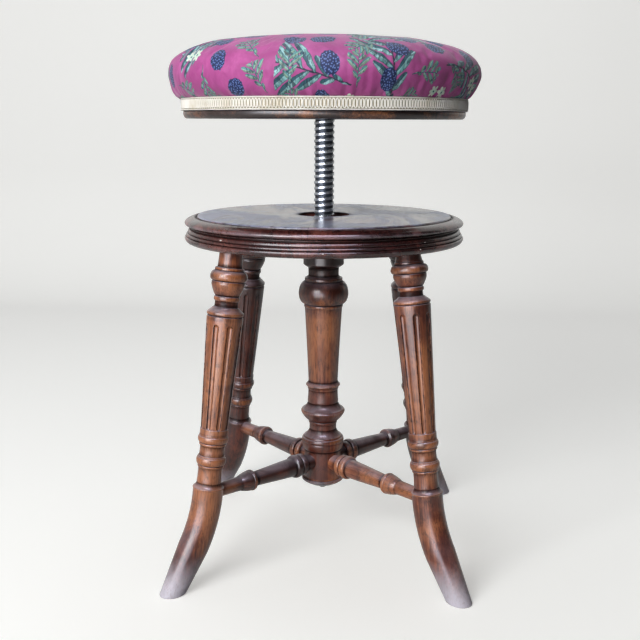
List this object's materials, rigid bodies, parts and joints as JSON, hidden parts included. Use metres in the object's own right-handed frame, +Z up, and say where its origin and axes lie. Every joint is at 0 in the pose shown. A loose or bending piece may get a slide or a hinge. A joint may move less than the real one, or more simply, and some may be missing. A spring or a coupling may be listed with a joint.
{
  "type": "piano stool",
  "caption": "Round upholstered stool whose seat turns up and down on a lead screw above a moulded platform on raked, fluted legs.",
  "frame": {"origin": "on the floor, on the lead screw's axis, midway between the feet", "axes": "+Z up along the lead screw; -Y to the side between the two front legs, which the picture shows; +X to the right there"},
  "size_m": [0.3304, 0.3304, 0.5669],
  "materials": {
    "turned_wood": "dark red-brown stained and polished hardwood, worn pale at the toes",
    "platform_wood": "dark stained hardwood, hazy and water-marked on top",
    "board_wood": "dark stained board with a scratched round nose",
    "iron": "blackened casting",
    "steel": "bare steel, oiled and slightly tarnished",
    "stuffing": "fibre stuffing under cotton",
    "cover_cloth": "printed cotton, matt, gathered at the lower edge",
    "braid": "cream gimp braid with looped edges"
  },
  "bodies": {
    "base": {"platform": "platform_wood", "column": "turned_wood", "column_cap": "turned_wood", "leg_front_left": "turned_wood", "leg_front_right": "turned_wood", "leg_back_left": "turned_wood", "leg_back_right": "turned_wood", "stretcher_front_left": "turned_wood", "stretcher_front_right": "turned_wood", "stretcher_back_left": "turned_wood", "stretcher_back_right": "turned_wood", "screw_nut": "iron", "nut_screws": "steel"},
    "riser": {"stop_washer": "iron"},
    "seat": {"lead_screw": "steel", "stop_screw": "steel", "seat_plate": "iron", "plate_screws": "steel", "hub_pin": "steel", "seat_board": "board_wood", "seat_pad": "stuffing", "seat_cover": "cover_cloth", "gimp_braid": "braid", "cover_tacks": "steel"}
  },
  "joints": [
    {"name": "seat_rise", "type": "slide", "parent": "base", "child": "riser", "axis": [0, 0, 1], "range_m": [-0.099, 0.05]},
    {"name": "seat_spin", "type": "hinge", "parent": "riser", "child": "seat", "pos_m": [0, 0, 0.4], "axis": [0, 0, 1], "range_deg": [-5605, 2830]}
  ],
  "couplings": [
    {"joint": "seat_rise", "follows": "seat_spin", "m_per_rad": 0.0010106}
  ]
}
